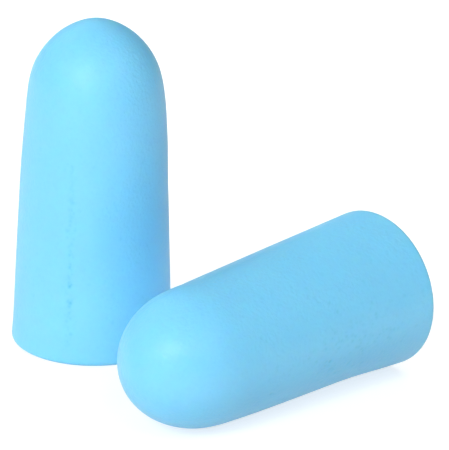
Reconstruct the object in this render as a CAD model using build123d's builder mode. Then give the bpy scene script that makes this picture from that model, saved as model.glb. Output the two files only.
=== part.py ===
from build123d import *
import os
from math import atan2, cos, degrees, radians, sin

# A pair of slow-recovery foam ear plugs, uncorded. Each plug is one solid
# moulding of foam: a flat sawn base, a side that tapers towards the tip, and
# a rounded nose. One plug stands on its base, its mate lies in front of it on
# its side.
#
# Frame: millimetres, +Z up. The origin is the centre of the standing plug's
# base, on the surface that both plugs rest on.

# ---- driving dimensions (mm, degrees) --------------------------------------
plug_length = 25.0          # base to tip, along the axis
base_diameter = 12.0        # at the base plane, before the edge is eased
tip_diameter = 9.8          # where the straight side would reach the tip plane
nose_length = 7.0           # how far the rounded nose runs back from the tip
nose_roundness = 2.6        # how late the nose starts to turn in
nose_fullness = 1.77        # how blunt the nose is at the tip
base_edge_radius = 0.3      # eased edge around the base
nose_stations = (0.22, 0.42, 0.60, 0.75, 0.87, 0.95, 0.985)

# The lying plug: the middle of its axis seen from above, and its heading,
# which is the direction from its base to its tip.
lying_mid_x = 12.5
lying_mid_y = -11.1
lying_heading = -135.7

# ---- worked-out values ------------------------------------------------------
base_radius = base_diameter / 2
tip_radius = tip_diameter / 2
taper = atan2(base_radius - tip_radius, plug_length)
shoulder_z = plug_length - nose_length


def side_radius(z):
    """Radius of the straight tapered side at the height z above the base."""
    return base_radius + (tip_radius - base_radius) * z / plug_length


def nose_radius(u):
    """Radius of the nose at the share u of its length, 0 at the shoulder."""
    z = shoulder_z + u * nose_length
    return side_radius(z) * (1 - u**nose_roundness) ** (1 / nose_fullness)


nose_points = [(side_radius(shoulder_z), shoulder_z)]
nose_points += [(nose_radius(u), shoulder_z + u * nose_length) for u in nose_stations]
nose_points += [(0, plug_length)]
side_direction = (tip_radius - base_radius, plug_length)

# ---- standing plug: it stands on its base, axis along Z ---------------------
with BuildPart() as standing_plug:
    with BuildSketch(Plane.XZ):
        with BuildLine():
            Polyline(
                (0, plug_length),
                (0, 0),
                (base_radius, 0),
                (side_radius(shoulder_z), shoulder_z),
            )
            Spline(*nose_points, tangents=(side_direction, (-1, 0)))
        make_face()
        # The outer corner of the half section is the edge around the base.
        base_corner = vertices().filter_by_position(
            Axis.X, base_radius - 0.01, base_radius + 0.01
        )
        fillet(base_corner, radius=base_edge_radius)
    revolve(axis=Axis.Z)
standing_plug.part.label = "standing_plug"

# ---- lying plug: the same moulding, on its side ------------------------------
# It rests along the whole straight length of its side, so its axis dips
# towards the tip by the taper, and the centre of its base is at the height
# base_radius * cos(taper).
heading = radians(lying_heading)
along = Vector(cos(heading) * cos(taper), sin(heading) * cos(taper), -sin(taper))
upward = Vector(cos(heading) * sin(taper), sin(heading) * sin(taper), cos(taper))
lying_base_centre = Vector(
    lying_mid_x - along.X * plug_length / 2,
    lying_mid_y - along.Y * plug_length / 2,
    base_radius * cos(taper),
)
lying_section = Plane(
    origin=lying_base_centre, x_dir=upward, z_dir=upward.cross(along)
)

with BuildPart() as lying_plug:
    with BuildSketch(lying_section):
        with BuildLine():
            Polyline(
                (0, plug_length),
                (0, 0),
                (base_radius, 0),
                (side_radius(shoulder_z), shoulder_z),
            )
            Spline(*nose_points, tangents=(side_direction, (-1, 0)))
        make_face()
        base_corner = vertices().filter_by_position(
            Axis.X, base_radius - 0.01, base_radius + 0.01
        )
        fillet(base_corner, radius=base_edge_radius)
    revolve(axis=Axis(lying_base_centre, along))
lying_plug.part.label = "lying_plug"

os.makedirs("parts", exist_ok=True)
export_step(standing_plug.part, "parts/standing_plug.step")
export_step(lying_plug.part, "parts/lying_plug.step")

for plug in (standing_plug, lying_plug):
    box = plug.part.bounding_box()
    print(
        plug.part.label,
        "volume mm3", round(plug.part.volume, 2),
        "box", tuple(round(v, 4) for v in box.min), tuple(round(v, 4) for v in box.max),
        "faces", len(plug.part.faces()),
    )
print("taper degrees", round(degrees(taper), 4))
print("gap between the plugs mm", round(standing_plug.part.distance_to(lying_plug.part), 3))
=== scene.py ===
"""Foam ear plugs: the looks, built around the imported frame. Metres, +Z up."""

import math

import bpy
import numpy as np
from mathutils import Matrix, Vector, noise


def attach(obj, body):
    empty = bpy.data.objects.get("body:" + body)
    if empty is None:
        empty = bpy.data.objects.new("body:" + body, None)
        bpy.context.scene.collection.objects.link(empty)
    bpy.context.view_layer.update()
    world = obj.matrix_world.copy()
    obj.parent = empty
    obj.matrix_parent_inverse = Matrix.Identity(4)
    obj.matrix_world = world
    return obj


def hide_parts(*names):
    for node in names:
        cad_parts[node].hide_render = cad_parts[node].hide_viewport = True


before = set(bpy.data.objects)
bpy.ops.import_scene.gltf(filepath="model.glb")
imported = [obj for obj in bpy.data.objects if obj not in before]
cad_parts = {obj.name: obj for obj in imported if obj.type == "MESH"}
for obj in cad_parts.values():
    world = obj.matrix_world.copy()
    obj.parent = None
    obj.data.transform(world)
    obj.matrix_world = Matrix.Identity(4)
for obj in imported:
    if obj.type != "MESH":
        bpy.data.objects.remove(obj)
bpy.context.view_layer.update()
scene = bpy.context.scene
MM = 0.001

# ---------------------------------------------------------------------------
# The plug's nominal shape, in millimetres, the same as the CAD model's.
# ---------------------------------------------------------------------------
LENGTH = 25.0
BASE_R = 6.0
TIP_R = 4.9
NOSE = 7.0
NOSE_P = 2.6
NOSE_Q = 1.77
EDGE_R = 0.42          # the foam's eased rim, a little softer than the CAD edge
TAPER = math.atan2(BASE_R - TIP_R, LENGTH)
SHOULDER = LENGTH - NOSE

LYING_MID = (12.46, -11.11)
LYING_HEADING = math.radians(-135.685)

N_AROUND = 320


def side_radius(z):
    return BASE_R + (TIP_R - BASE_R) * z / LENGTH


def profile():
    """Rows of the half section, base centre to tip: radius, height, and the outward normal of each."""
    edge_x = side_radius(EDGE_R) - EDGE_R / math.cos(TAPER)
    pts = []
    for r in np.linspace(0.0, 1.0, 42)[:-1]:
        pts.append((edge_x * r, 0.0))
    for a in np.linspace(-math.pi / 2, TAPER, 7):
        pts.append((edge_x + EDGE_R * math.cos(a), EDGE_R + EDGE_R * math.sin(a)))
    z0 = EDGE_R + EDGE_R * math.sin(TAPER)
    for z in np.linspace(z0, SHOULDER, 156)[1:]:
        pts.append((side_radius(z), z))
    # the nose, resampled evenly along its own length
    u = 1 - (1 - np.linspace(0, 1, 4000)) ** 2
    z = SHOULDER + u * NOSE
    r = (BASE_R + (TIP_R - BASE_R) * z / LENGTH) * np.maximum(0, 1 - u**NOSE_P) ** (
        1 / NOSE_Q
    )
    s = np.r_[0, np.cumsum(np.hypot(np.diff(r), np.diff(z)))]
    t = np.linspace(0, s[-1], 86)[1:]
    pts += list(zip(np.interp(t, s, r), np.interp(t, s, z)))
    pts = np.array(pts)
    d = np.gradient(pts, axis=0)
    n = np.stack([d[:, 1], -d[:, 0]], 1)
    n /= np.linalg.norm(n, axis=1, keepdims=True)
    n[0] = (0, -1)
    n[-1] = (0, 1)
    return pts, n


def make_plug(name, place, swell, pores, dense, pit_shade_fade=1.0):
    """A closed plug mesh. swell(P) moves each point out along its normal and pores(P) in, both in mm.
    Columns of the mesh gather round a direction: dense is (degrees, width in degrees, how much).
    The painted shade inside the pores is made weaker by the last argument."""
    pts, nrm = profile()
    towards, width, gain = dense
    turn = np.linspace(-math.pi, math.pi, 20001)
    density = 1 + gain * np.exp(-((turn / math.radians(width)) ** 2))
    total = np.r_[0, np.cumsum((density[1:] + density[:-1]) / 2)]
    th = np.interp(np.arange(N_AROUND) / N_AROUND * total[-1], total, turn) + math.radians(towards)
    c, s = np.cos(th), np.sin(th)
    rows, norms = pts[1:-1], nrm[1:-1]
    P = np.stack(
        [
            rows[:, :1] * c,
            rows[:, :1] * s,
            np.repeat(rows[:, 1:], N_AROUND, 1),
        ],
        -1,
    ).reshape(-1, 3)
    N = np.stack(
        [
            norms[:, :1] * c,
            norms[:, :1] * s,
            np.repeat(norms[:, 1:], N_AROUND, 1),
        ],
        -1,
    ).reshape(-1, 3)
    P = np.vstack([[0, 0, pts[0, 1]], P, [0, 0, pts[-1, 1]]])
    N = np.vstack([[0, 0, -1], N, [0, 0, 1]])
    depth = pores(P)
    nose = np.clip((P[:, 2] - 14.5) / 6.0, 0, 1)
    P = P + N * (swell(P) - depth)[:, None]
    W = place(P) * MM
    # soft foam flattens where it rests on the floor
    W[:, 2] = np.maximum(W[:, 2], 0.0)
    nr = len(rows)
    i = np.arange(N_AROUND)
    j = (i + 1) % N_AROUND
    faces = [(0, 1 + int(b), 1 + int(a)) for a, b in zip(i, j)]
    k = np.arange(nr - 1)[:, None] * N_AROUND + 1
    quads = np.stack([k + i, k + j, k + N_AROUND + j, k + N_AROUND + i], -1).reshape(-1, 4)
    faces += [tuple(q) for q in quads.tolist()]
    top = 1 + (nr - 1) * N_AROUND
    faces += [(top + int(a), top + int(b), len(W) - 1) for a, b in zip(i, j)]
    mesh = bpy.data.meshes.new(name)
    mesh.from_pydata(W.tolist(), [], faces)
    mesh.validate()
    mesh.shade_smooth()
    # the pore mask: painted shade inside the pits, stronger where they are deeper
    mask = mesh.attributes.new("pore", "FLOAT", "POINT")
    mask.data.foreach_set("value", np.clip(depth / 0.05 / pit_shade_fade, 0, 1).astype(np.float32))
    mask = mesh.attributes.new("nose", "FLOAT", "POINT")
    mask.data.foreach_set("value", nose.astype(np.float32))
    obj = bpy.data.objects.new(name, mesh)
    scene.collection.objects.link(obj)
    return obj


def stand(P):
    return P


def lie(P, scale=0.983):
    """The lying plug's own axes: it rests on its side line, its tip towards the front left."""
    u = np.array([math.cos(LYING_HEADING) * math.cos(TAPER), math.sin(LYING_HEADING) * math.cos(TAPER), -math.sin(TAPER)])
    n = np.array([math.cos(LYING_HEADING) * math.sin(TAPER), math.sin(LYING_HEADING) * math.sin(TAPER), math.cos(TAPER)])
    w = np.array([-math.sin(LYING_HEADING), math.cos(LYING_HEADING), 0.0])
    base = np.array([0, 0, BASE_R * math.cos(TAPER)]) - np.array([u[0], u[1], 0]) * LENGTH / 2
    W = base + P[:, 2:3] * u + P[:, 0:1] * n + P[:, 1:2] * w
    return W * scale + np.array([LYING_MID[0], LYING_MID[1], 0.0])


# Soft foam never comes out perfectly even. Each plug has its own small swellings and hollows along its
# length, in mm: (direction around the axis in degrees, [(height, swelling), ...]).
STANDING_FORM = [
    (183, [(0, 0.03), (1.5, -0.017), (3.5, -0.008), (6, 0.028), (9, 0.048), (12.5, 0.077), (14.5, 0.052), (16.5, 0.0), (18.2, -0.054), (19.3, -0.066), (20.3, -0.018), (21.4, 0.024), (23, -0.01), (25, -0.02)]),
    (5, [(0, 0.03), (6, 0.03), (10.5, 0.036), (12.5, 0.022), (15.5, 0.06), (17.2, 0.026), (18.5, -0.02), (19.6, -0.048), (20.6, -0.036), (21.8, -0.004), (23, -0.01), (25, -0.02)]),
]
LYING_FORM = [
    (149, [(0, 0.05), (1.2, 0.02), (2.5, -0.01), (4, -0.066), (5.6, -0.108), (7, -0.1), (9, -0.056), (11, -0.008), (13, 0.035), (15, 0.07), (16.4, 0.078), (18.5, 0.056), (20.3, 0.033), (21.6, -0.012), (23, -0.035), (25, -0.01)]),
    (318, [(0, -0.02), (2.5, -0.02), (6, -0.004), (12, -0.003), (15, -0.014), (17.5, -0.02), (18.5, 0.0), (20, 0.066), (22, 0.06), (23.2, 0.06), (25, 0.0)]),
]


def form(P, table):
    """Swelling at each point: each line of the table counts by how near the point is to it around the axis."""
    th = np.arctan2(P[:, 1], P[:, 0])
    out = np.zeros(len(P))
    for deg, knots in table:
        k = np.array(knots)
        z = np.clip(P[:, 2], 0, LENGTH)
        # a smooth curve through the knots, by averaging the straight one
        fine = np.linspace(-1, LENGTH + 1, 541)
        y = np.interp(fine, k[:, 0], k[:, 1])
        w = np.hanning(27)
        y = np.convolve(np.pad(y, 13, mode="edge"), w / w.sum(), mode="valid")
        c = np.cos(th - math.radians(deg))
        out += np.interp(z, fine, y) * np.clip(c, 0, 1) ** 2
    # the base stays flat
    return np.where(P[:, 2] < 1e-6, 0.0, out)


def grain(P, size, seed):
    """Smooth noise from about -1 to 1, size in mm across."""
    off = Vector((seed * 13.7, seed * 5.3, seed * 9.1))
    return np.array([noise.noise(Vector(p) / size + off) for p in P.tolist()])


def pits(P, centres):
    """How deep each point sits in the round pits (x, y, z, radius, depth), all in mm."""
    out = np.zeros(len(P))
    for x, y, z, r, d in centres:
        q = P - np.array((x, y, z))
        near = np.einsum("ij,ij->i", q, q) < (1.6 * r) ** 2
        if near.any():
            t = np.sqrt(np.einsum("ij,ij->i", q[near], q[near])) / r
            out[near] = np.maximum(out[near], d * np.exp(-(t**2) * 1.8))
    return out


def on_side(height, deg):
    r = side_radius(height)
    return r * math.cos(math.radians(deg)), r * math.sin(math.radians(deg)), height


def open_cells(seed, count):
    """Small cells cut open across the flat base."""
    rng = np.random.default_rng(seed)
    out = []
    for _ in range(count):
        r, a = 5.35 * math.sqrt(rng.random()), rng.random() * 2 * math.pi
        size = 0.13 + 0.16 * rng.random() ** 2
        out.append((r * math.cos(a), r * math.sin(a), 0.0, size, 0.02 + 0.16 * size * rng.random()))
    return out


# The faint line of pores up the standing plug's front left, and a few stray ones on both plugs.
def standing_pits():
    rng = np.random.default_rng(7)
    out = []
    for z, deg, r, d in [
        (2.50, 257.1, 0.16, 0.035),
        (3.70, 256.6, 0.13, 0.022),
        (4.15, 255.7, 0.15, 0.030),
        (4.62, 255.5, 0.17, 0.040),
        (4.90, 256.2, 0.20, 0.060),
        (5.02, 254.4, 0.15, 0.045),
        (5.15, 257.3, 0.13, 0.030),
        (6.17, 255.3, 0.15, 0.080),
        (6.33, 256.6, 0.13, 0.050),
        (6.48, 254.6, 0.12, 0.030),
        (6.95, 254.3, 0.13, 0.030),
        (7.65, 254.9, 0.16, 0.045),
        (7.9, 255.3, 0.12, 0.028),
        (8.6, 254.4, 0.15, 0.030),
        (9.25, 254.0, 0.13, 0.022),
        (11.2, 254.4, 0.16, 0.026),
        (11.5, 255.8, 0.14, 0.020),
        (12.1, 254.8, 0.15, 0.018),
        (12.6, 255.4, 0.18, 0.028),
        (12.8, 254.0, 0.14, 0.020),
    ]:
        out.append((*on_side(z, deg), r, d))
    for _ in range(120):
        z, deg = 1.4 + 14.0 * rng.random(), 255.1 + 1.5 * rng.standard_normal()
        out.append((*on_side(z, deg), 0.10 + 0.09 * rng.random() ** 2, 0.006 + 0.020 * rng.random() ** 2))
    for _ in range(30):
        z, deg = 2.0 + 13 * rng.random(), 256.5 + 4.5 * rng.standard_normal()
        out.append((*on_side(z, deg), 0.09 + 0.05 * rng.random(), 0.004 + 0.010 * rng.random()))
    return out


def stray_pits(seed, count):
    rng = np.random.default_rng(seed)
    out = []
    for _ in range(count):
        z, deg = 1.0 + 16 * rng.random(), 360 * rng.random()
        out.append((*on_side(z, deg), 0.12 + 0.07 * rng.random(), 0.006 + 0.012 * rng.random()))
    return out


# The lying plug's side is pitted in patches, most of all low on its front.
def lying_pits():
    rng = np.random.default_rng(17)
    out = []
    for z, deg, r, d in [
        (10.5, 103, 0.18, 0.040),
        (10.3, 111, 0.15, 0.024),
        (8.4, 92, 0.16, 0.028),
        (9.0, 86.5, 0.16, 0.026),
        (9.9, 57.5, 0.16, 0.026),
        (9.45, 65.5, 0.18, 0.024),
        (4.7, 100, 0.15, 0.024),
        (15.95, 115, 0.17, 0.030),
        (8.45, 112, 0.15, 0.020),
        (12.7, 93, 0.16, 0.018),
        (11.1, 86, 0.16, 0.018),
        (7.7, 93, 0.14, 0.018),
        (5.9, 97, 0.15, 0.018),
        (11.4, 47, 0.16, 0.018),
        (2.95, 72, 0.16, 0.018),
        (2.7, 10, 0.16, 0.020),
    ]:
        out.append((*on_side(z, deg), r, 1.5 * d))
    for _ in range(170):
        z, deg = 8.0 + 3.2 * rng.standard_normal(), 98 + 12 * rng.standard_normal()
        if 0.8 < z < 17.5:
            out.append((*on_side(z, deg), 0.13 + 0.07 * rng.random(), 0.006 + 0.028 * rng.random() ** 2))
    for _ in range(150):
        z, deg = 1.0 + 16 * rng.random(), 30 + 90 * rng.random()
        out.append((*on_side(z, deg), 0.13 + 0.07 * rng.random(), 0.004 + 0.016 * rng.random() ** 2))
    return out


def standing_swell(P):
    out = form(P, STANDING_FORM) + 0.010 * grain(P, 4.0, 1) + 0.004 * grain(P, 0.7, 2)
    return np.where(P[:, 2] < 1e-6, np.minimum(out, 0.0), out)


def standing_pores(P):
    return pits(P, standing_pits() + stray_pits(11, 70) + open_cells(21, 420))


def lying_swell(P):
    return form(P, LYING_FORM) + 0.010 * grain(P, 4.0, 5) + 0.004 * grain(P, 0.7, 6)


def lying_pores(P):
    return pits(P, lying_pits() + stray_pits(12, 90) + open_cells(22, 420))


standing = make_plug("standing_plug_foam", stand, standing_swell, standing_pores, dense=(255.3, 6, 2.6))
# the lying plug's pits carry weaker painted shade
lying = make_plug("lying_plug_foam", lie, lying_swell, lying_pores, dense=(92, 30, 1.5), pit_shade_fade=1.5)

# ---------------------------------------------------------------------------
# Foam
# ---------------------------------------------------------------------------
# The foam is blue all through. Light goes a little way into it, blue light furthest.
BLUE = (0.2225, 0.6550, 0.9720)
SCATTER = (0.25, 1.0, 1.8)
SCATTER_SCALE = 0.0010


def foam_material(name, smooth, rough, polish):
    m = bpy.data.materials.new(name)
    m.use_nodes = True
    nt = m.node_tree
    nodes, links = nt.nodes, nt.links
    b = nodes["Principled BSDF"]
    coord = nodes.new("ShaderNodeTexCoord")

    def noise_node(scale, detail, rough=0.5):
        n = nodes.new("ShaderNodeTexNoise")
        n.inputs["Scale"].default_value = scale
        n.inputs["Detail"].default_value = detail
        n.inputs["Roughness"].default_value = rough
        links.new(coord.outputs["Object"], n.inputs["Vector"])
        return n

    # colour: the dye isn't perfectly even
    cloud = noise_node(320, 3)
    ramp = nodes.new("ShaderNodeValToRGB")
    ramp.color_ramp.elements[0].position = 0.3
    ramp.color_ramp.elements[0].color = (BLUE[0] * 0.98, BLUE[1] * 0.987, BLUE[2] * 0.99, 1)
    ramp.color_ramp.elements[1].position = 0.7
    ramp.color_ramp.elements[1].color = (BLUE[0] * 1.02, BLUE[1] * 1.012, BLUE[2] * 1.008, 1)
    links.new(cloud.outputs["Fac"], ramp.inputs["Fac"])
    # painted shade: the tiny cell mouths, dented by the cell bump below, are a touch darker in colour
    cells = nodes.new("ShaderNodeTexVoronoi")
    cells.inputs["Scale"].default_value = 2600
    links.new(coord.outputs["Object"], cells.inputs["Vector"])
    mouth = nodes.new("ShaderNodeMapRange")
    mouth.inputs["From Min"].default_value = 0.0
    mouth.inputs["From Max"].default_value = 0.45
    mouth.inputs["To Min"].default_value = 1.0
    mouth.inputs["To Max"].default_value = 0.0
    links.new(cells.outputs["Distance"], mouth.inputs["Value"])
    cell_mouth_shade = nodes.new("ShaderNodeMix")
    cell_mouth_shade.data_type = "RGBA"
    cell_mouth_shade.blend_type = "MULTIPLY"
    cell_mouth_shade.inputs["B"].default_value = (0.93, 0.965, 0.985, 1)
    part = nodes.new("ShaderNodeMath")
    part.operation = "MULTIPLY"
    part.inputs[1].default_value = 0.5
    links.new(mouth.outputs["Result"], part.inputs[0])
    links.new(part.outputs["Value"], cell_mouth_shade.inputs["Factor"])
    links.new(ramp.outputs["Color"], cell_mouth_shade.inputs["A"])
    # painted shade inside the larger pores, darker where they are deeper
    pore = nodes.new("ShaderNodeAttribute")
    pore.attribute_name = "pore"
    pore_shade = nodes.new("ShaderNodeMix")
    pore_shade.data_type = "RGBA"
    pore_shade.blend_type = "MULTIPLY"
    pore_shade.inputs["B"].default_value = (0.58, 0.84, 0.80, 1)
    links.new(pore.outputs["Fac"], pore_shade.inputs["Factor"])
    links.new(cell_mouth_shade.outputs["Result"], pore_shade.inputs["A"])
    links.new(pore_shade.outputs["Result"], b.inputs["Base Color"])

    # relief: a skin that is smooth in places and pebbled in others, over small cells
    fine = noise_node(3900, 2.0, 0.5)
    coarse = noise_node(900, 2)
    patches = noise_node(260, 2)
    amount = nodes.new("ShaderNodeMapRange")
    amount.inputs["From Min"].default_value = 0.40
    amount.inputs["From Max"].default_value = 0.62
    amount.inputs["To Min"].default_value = 0.45
    amount.inputs["To Max"].default_value = 1.0
    links.new(patches.outputs["Fac"], amount.inputs["Value"])
    # the skin is pebbled more towards the nose
    nose = nodes.new("ShaderNodeAttribute")
    nose.attribute_name = "nose"
    pebbled = nodes.new("ShaderNodeMath")
    pebbled.operation = "MULTIPLY_ADD"
    pebbled.inputs[1].default_value = 0.12
    links.new(nose.outputs["Fac"], pebbled.inputs[0])
    part_amount = nodes.new("ShaderNodeMath")
    part_amount.operation = "MULTIPLY"
    part_amount.inputs[1].default_value = 0.5
    links.new(amount.outputs["Result"], part_amount.inputs[0])
    links.new(part_amount.outputs["Value"], pebbled.inputs[2])
    bump_cells = nodes.new("ShaderNodeBump")
    bump_cells.invert = True
    bump_cells.inputs["Strength"].default_value = 0.5
    bump_cells.inputs["Distance"].default_value = 0.000015
    links.new(mouth.outputs["Result"], bump_cells.inputs["Height"])
    bump_coarse = nodes.new("ShaderNodeBump")
    bump_coarse.inputs["Strength"].default_value = 0.6
    bump_coarse.inputs["Distance"].default_value = 0.000025
    links.new(coarse.outputs["Fac"], bump_coarse.inputs["Height"])
    links.new(bump_cells.outputs["Normal"], bump_coarse.inputs["Normal"])
    bump = nodes.new("ShaderNodeBump")
    bump.inputs["Distance"].default_value = 0.00008
    links.new(pebbled.outputs["Value"], bump.inputs["Strength"])
    links.new(fine.outputs["Fac"], bump.inputs["Height"])
    links.new(bump_coarse.outputs["Normal"], bump.inputs["Normal"])
    links.new(bump.outputs["Normal"], b.inputs["Normal"])

    # roughness: matte, with the skin smoother in places and in specks
    speck = nodes.new("ShaderNodeMath")
    speck.operation = "ADD"
    links.new(coarse.outputs["Fac"], speck.inputs[0])
    links.new(fine.outputs["Fac"], speck.inputs[1])
    rr = nodes.new("ShaderNodeMapRange")
    rr.inputs["From Min"].default_value = 0.8
    rr.inputs["From Max"].default_value = 1.2
    rr.inputs["To Min"].default_value = smooth
    rr.inputs["To Max"].default_value = rough
    links.new(speck.outputs["Value"], rr.inputs["Value"])
    # the nose is a little smoother than the side
    smoother = nodes.new("ShaderNodeMath")
    smoother.operation = "MULTIPLY_ADD"
    smoother.inputs[1].default_value = -polish
    links.new(nose.outputs["Fac"], smoother.inputs[0])
    links.new(rr.outputs["Result"], smoother.inputs[2])
    links.new(smoother.outputs["Value"], b.inputs["Roughness"])

    b.inputs["Specular IOR Level"].default_value = 0.5
    b.inputs["Subsurface Weight"].default_value = 0.5
    b.inputs["Subsurface Radius"].default_value = SCATTER
    b.inputs["Subsurface Scale"].default_value = SCATTER_SCALE
    return m


standing.data.materials.append(foam_material("foam_skin_standing", 0.36, 0.44, 0.03))
lying.data.materials.append(foam_material("foam_skin_lying", 0.31, 0.38, 0.025))

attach(standing, "standing")
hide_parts("standing_plug")
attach(lying, "lying")
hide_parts("lying_plug")

# ---------------------------------------------------------------------------
# Floor, light, camera
# ---------------------------------------------------------------------------
bpy.ops.mesh.primitive_plane_add(size=3.0, location=(0.01, -0.005, -0.00001))
floor = bpy.context.object
floor.name = "studio_floor"
fm = bpy.data.materials.new("floor_white")
fm.use_nodes = True
fb = fm.node_tree.nodes["Principled BSDF"]
fb.inputs["Base Color"].default_value = (0.50, 0.50, 0.50, 1)
# painted light: the floor glows softly, lighting the plugs as a lit white sweep would; seen directly it glows
# more, a little less within a few centimetres of the plugs so their shadow shows, and full white farther out
spot = fm.node_tree.nodes.new("ShaderNodeTexCoord")
away = fm.node_tree.nodes.new("ShaderNodeVectorMath")
away.operation = "LENGTH"
fm.node_tree.links.new(spot.outputs["Object"], away.inputs[0])
reach = fm.node_tree.nodes.new("ShaderNodeMapRange")
reach.interpolation_type = "SMOOTHSTEP"
reach.inputs["From Min"].default_value = 0.03
reach.inputs["From Max"].default_value = 0.25
fm.node_tree.links.new(away.outputs["Value"], reach.inputs["Value"])
white = fm.node_tree.nodes.new("ShaderNodeMix")
white.data_type = "RGBA"
white.inputs["A"].default_value = (0.66, 0.66, 0.66, 1)
white.inputs["B"].default_value = (1.0, 1.0, 1.0, 1)
fm.node_tree.links.new(reach.outputs["Result"], white.inputs["Factor"])
seen = fm.node_tree.nodes.new("ShaderNodeLightPath")
glow = fm.node_tree.nodes.new("ShaderNodeMix")
glow.data_type = "RGBA"
glow.inputs["A"].default_value = (0.306, 0.306, 0.306, 1)
fm.node_tree.links.new(white.outputs["Result"], glow.inputs["B"])
fm.node_tree.links.new(seen.outputs["Is Camera Ray"], glow.inputs["Factor"])
fm.node_tree.links.new(glow.outputs["Result"], fb.inputs["Emission Color"])
fb.inputs["Emission Strength"].default_value = 1.0
fb.inputs["Roughness"].default_value = 0.9
fb.inputs["Specular IOR Level"].default_value = 0.1
floor.data.materials.append(fm)

AIM = Vector((0.009, -0.006, 0.010))
# Every light is white. name, azimuth (0 is the camera's side, + to the right), elevation, distance,
# size, strength
LIGHTS = [
    ("key_left", -35, 14, 0.7, 0.9, 1.189),
    ("soft_front", -26, 39, 0.6, 0.13, 0.216),
    ("back_low", -152, 8, 0.7, 0.9, 1.41),
    ("back_top", -160, 62, 0.7, 0.6, 0.167),
    ("fill_right", 45, 50, 0.7, 0.5, 0.42),
]
WORLD = (0.0845, 0.0845, 0.0845)
for name, az, el, dist, size, strength in LIGHTS:
    ld = bpy.data.lights.new(name, "AREA")
    ld.shape = "SQUARE"
    ld.size = size
    ld.energy = strength * math.pi**2 * dist**2
    ld.color = (1, 1, 1)
    lo = bpy.data.objects.new(name, ld)
    scene.collection.objects.link(lo)
    a, e = math.radians(az), math.radians(el)
    back = Vector((math.sin(a) * math.cos(e), -math.cos(a) * math.cos(e), math.sin(e)))
    lo.location = AIM + back * dist
    lo.rotation_mode = "QUATERNION"
    lo.rotation_quaternion = (-back).to_track_quat("-Z", "Y")
    lo.visible_camera = False
    # the big soft sources give shade only; the small one gives the faint gloss
    lo.visible_glossy = name == "soft_front"

world = bpy.data.worlds.new("studio")
scene.world = world
world.use_nodes = True
# the room's light, and a plain white backdrop where nothing is in front of it
room = world.node_tree.nodes["Background"]
backdrop = world.node_tree.nodes.new("ShaderNodeMix")
backdrop.data_type = "RGBA"
backdrop.inputs["A"].default_value = (*WORLD, 1)
backdrop.inputs["B"].default_value = (1, 1, 1, 1)
direct = world.node_tree.nodes.new("ShaderNodeLightPath")
world.node_tree.links.new(direct.outputs["Is Camera Ray"], backdrop.inputs["Factor"])
world.node_tree.links.new(backdrop.outputs["Result"], room.inputs["Color"])
room.inputs["Strength"].default_value = 1.0
world.cycles_visibility.glossy = False

scene.view_settings.view_transform = "Standard"
scene.view_settings.look = "None"

# The camera: about 20 degrees above the horizon, with a long lens.
ELEV = 0.35288
ROLL = 0.03276
CAM_D = 260.0
CAM_X, CAM_H = 9.745, 9.3485
cam = bpy.data.cameras.new("camera")
cam.sensor_width = 36.0
cam.lens = 3492.81 / 450 * 36
cam.clip_start, cam.clip_end = 0.01, 20
camera = bpy.data.objects.new("camera", cam)
scene.collection.objects.link(camera)
fwd = Vector((0, math.cos(ELEV), -math.sin(ELEV)))
right = Vector((1, 0, 0))
up = right.cross(fwd)
r2 = right * math.cos(ROLL) + up * math.sin(ROLL)
u2 = up * math.cos(ROLL) - right * math.sin(ROLL)
place = Matrix((r2, u2, -fwd)).transposed().to_4x4()
place.translation = Vector((CAM_X, -CAM_D * math.cos(ELEV), CAM_H + CAM_D * math.sin(ELEV))) * MM
camera.matrix_world = place
scene.camera = camera
